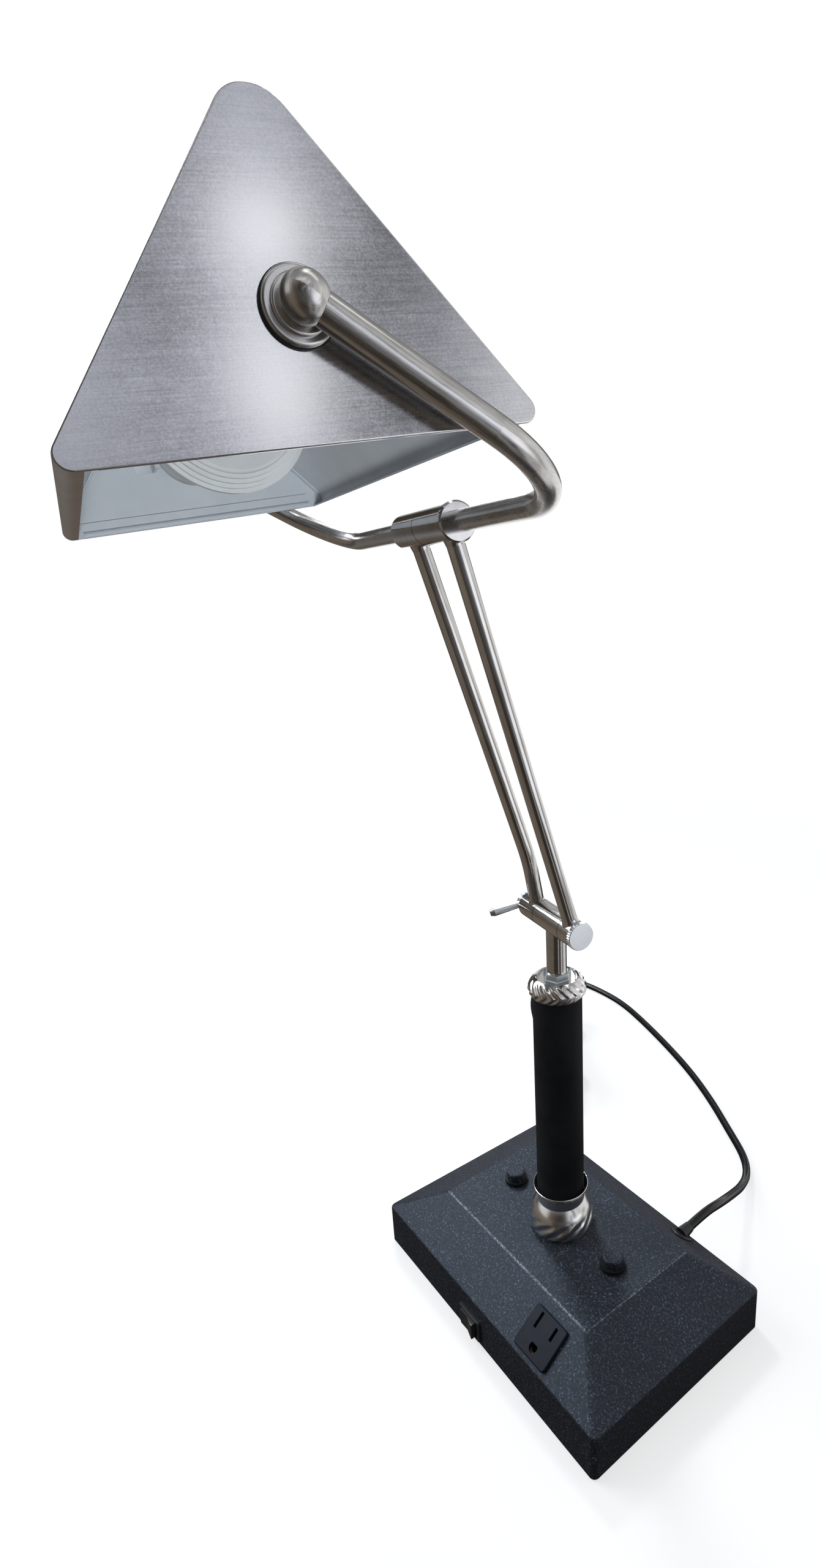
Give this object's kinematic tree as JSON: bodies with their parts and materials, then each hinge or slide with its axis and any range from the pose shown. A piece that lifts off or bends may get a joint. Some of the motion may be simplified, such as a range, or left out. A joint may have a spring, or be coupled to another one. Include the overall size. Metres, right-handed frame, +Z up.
{
  "type": "swing arm desk lamp",
  "caption": "Desk lamp with a weighted hip-sided base holding an outlet and a rocker switch, a column, a swivelling tilting arm, a U yoke and a tent-shaped shade.",
  "frame": {"origin": "middle of the base at the surface that the lamp stands on", "axes": "+X along the base's long side, -Y towards the outlet and switch, +Z up the column"},
  "size_m": [0.4454, 0.5211, 0.5666],
  "materials": {
    "charcoal_coat": "sand textured powder coat",
    "dark_steel": "dark painted",
    "soft_rubber": "matte",
    "zinc_steel": "zinc plated",
    "black_trim": "matte",
    "black_plastic": "moulded",
    "brass_contact": "bare",
    "cord_jacket": "smooth jacket",
    "black_tube": "satin black",
    "polished_nickel": "polished to satin nickel",
    "shade_nickel": "brushed nickel outside, white enamel inside",
    "socket_white": "moulded",
    "bulb_white": "ribbed",
    "bulb_frost": "frosted"
  },
  "bodies": {
    "base": {"base_shell": "charcoal_coat", "base_bottom": "dark_steel", "base_weight": "dark_steel", "rubber_feet": "soft_rubber", "bottom_screws": "zinc_steel", "bolt_caps": "charcoal_coat", "bolt_washers": "black_trim", "base_studs": "zinc_steel", "outlet_body": "black_plastic", "outlet_contacts": "brass_contact", "switch_housing": "black_plastic", "switch_terminals": "brass_contact", "strain_relief": "black_plastic", "power_cord": "cord_jacket", "cord_hank": "cord_jacket", "cord_tie": "black_trim", "plug_body": "black_plastic", "plug_blades": "brass_contact", "column_foot": "polished_nickel", "column_tube": "black_tube", "column_ring": "polished_nickel", "lamp_pipe": "zinc_steel", "pipe_washer": "zinc_steel", "pipe_nut": "zinc_steel", "clamp_nut": "zinc_steel", "swivel_nut": "zinc_steel"},
    "rocker": {"switch_rocker": "black_plastic"},
    "swivel": {"swivel_stem": "polished_nickel"},
    "arm": {"lower_knuckle_left": "polished_nickel", "lower_knuckle_right": "polished_nickel", "friction_washers": "zinc_steel", "pivot_bolt": "polished_nickel", "arm_rod_left": "polished_nickel", "arm_rod_right": "polished_nickel", "upper_knuckle_left": "polished_nickel", "upper_knuckle_right": "polished_nickel", "seam_washer": "zinc_steel"},
    "lever": {"locking_lever": "polished_nickel"},
    "yoke": {"yoke_tube": "polished_nickel", "yoke_collar": "polished_nickel", "pivot_balls": "polished_nickel", "pivot_flanges": "polished_nickel", "pivot_washers": "black_trim", "pivot_nipples": "polished_nickel", "pivot_nuts": "zinc_steel", "inner_washers": "zinc_steel"},
    "shade": {"shade_roof": "shade_nickel", "shade_gable_near": "shade_nickel", "shade_gable_far": "shade_nickel", "socket_bracket": "zinc_steel", "bracket_rivets": "zinc_steel", "lamp_socket": "socket_white", "bulb_body": "bulb_white", "bulb_lens": "bulb_frost"}
  },
  "joints": [
    {"name": "stem_swivel", "type": "hinge", "parent": "base", "child": "swivel", "pos_m": [0, 0, 0.259], "axis": [0, 0, 1], "range_deg": [-160, 170]},
    {"name": "arm_tilt", "type": "hinge", "parent": "swivel", "child": "arm", "pos_m": [0, 0, 0.259], "axis": [0.9869, -0.1616, 0], "range_deg": [-62, 43]},
    {"name": "lever_turn", "type": "hinge", "parent": "arm", "child": "lever", "pos_m": [0, 0, 0.259], "axis": [0.9869, -0.1616, 0], "range_deg": [-120, 0]},
    {"name": "yoke_tilt", "type": "hinge", "parent": "arm", "child": "yoke", "pos_m": [-0.01057, -0.06455, 0.47428], "axis": [0.9869, -0.1616, 0], "range_deg": [-100, 55]},
    {"name": "shade_tilt", "type": "hinge", "parent": "yoke", "child": "shade", "pos_m": [-0.02455, -0.14992, 0.51817], "axis": [0.9869, -0.1616, 0], "range_deg": [-75, 85]},
    {"name": "rocker_press", "type": "hinge", "parent": "base", "child": "rocker", "pos_m": [-0.0056, -0.0686, 0.0106], "axis": [0, 0, 1], "range_deg": [0, 14]}
  ]
}
